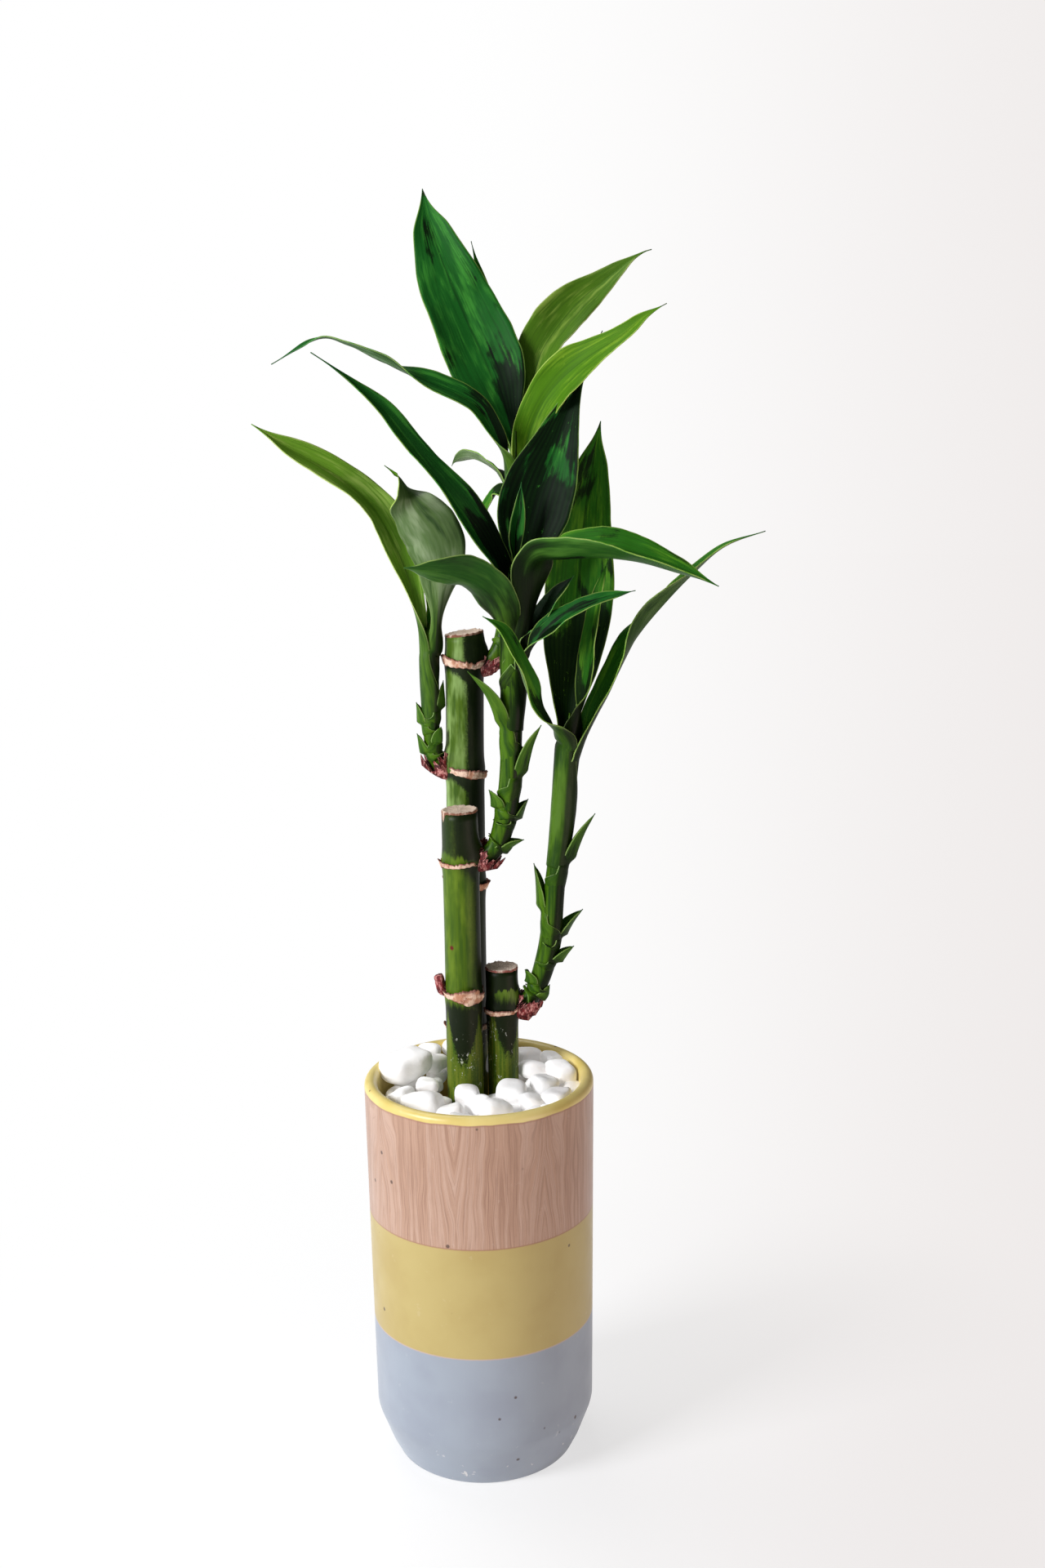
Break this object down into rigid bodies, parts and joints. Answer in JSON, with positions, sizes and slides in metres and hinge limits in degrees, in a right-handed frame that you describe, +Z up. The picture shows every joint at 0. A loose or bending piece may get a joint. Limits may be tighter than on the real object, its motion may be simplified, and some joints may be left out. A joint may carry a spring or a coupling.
{
  "type": "lucky bamboo in a vase",
  "caption": "Potted lucky bamboo: cut green canes with leafy curved shoots, held by white pebbles in a tall round glazed vase.",
  "frame": {"origin": "centre of the vase's round foot, on the surface that it stands on", "axes": "+Z up along the vase's axis, +X to the right and +Y to the back as the picture shows the plant"},
  "size_m": [0.1785, 0.0993, 0.4622],
  "materials": {
    "vase_glaze": "satin glaze: yellow lip and inside, wood-grain, mustard yellow and blue-grey bands outside",
    "pebble": "smooth white",
    "cane": "glossy living bark",
    "cut_end": "dry cut, matt",
    "ring": "dry papery leaf scar",
    "stem": "satin living stem",
    "leaf_dark": "glossy leaf, pale edge",
    "leaf_mid": "glossy leaf, pale edge",
    "leaf_pale": "satin yellow-green leaf, pale edge"
  },
  "bodies": {
    "root": {"cane_medium": "cane", "cane_short": "cane", "cane_tall": "cane", "cut_end_medium": "cut_end", "cut_end_short": "cut_end", "cut_end_tall": "cut_end", "leaf_left_1": "leaf_pale", "leaf_left_2": "leaf_pale", "leaf_left_3": "leaf_mid", "leaf_middle_1": "leaf_dark", "leaf_middle_2": "leaf_mid", "leaf_middle_3": "leaf_mid", "leaf_middle_4": "leaf_dark", "leaf_middle_5": "leaf_dark", "leaf_middle_6": "leaf_dark", "leaf_middle_7": "leaf_dark", "leaf_right_1": "leaf_mid", "leaf_right_2": "leaf_mid", "leaf_right_3": "leaf_mid", "leaf_right_4": "leaf_mid", "leaf_right_5": "leaf_mid", "leaf_top_1": "leaf_mid", "leaf_top_2": "leaf_pale", "leaf_top_3": "leaf_dark", "leaf_top_4": "leaf_pale", "leaf_top_5": "leaf_mid", "leaf_top_6": "leaf_mid", "leaf_top_7": "leaf_mid", "pebbles": "pebble", "ring_medium_lower": "ring", "ring_medium_upper": "ring", "ring_short_only": "ring", "ring_tall_lower": "ring", "ring_tall_lowest": "ring", "ring_tall_top": "ring", "ring_tall_upper": "ring", "stem_left": "stem", "stem_middle": "stem", "stem_right": "stem", "stem_top": "stem", "vase": "vase_glaze"}
  },
  "joints": []
}
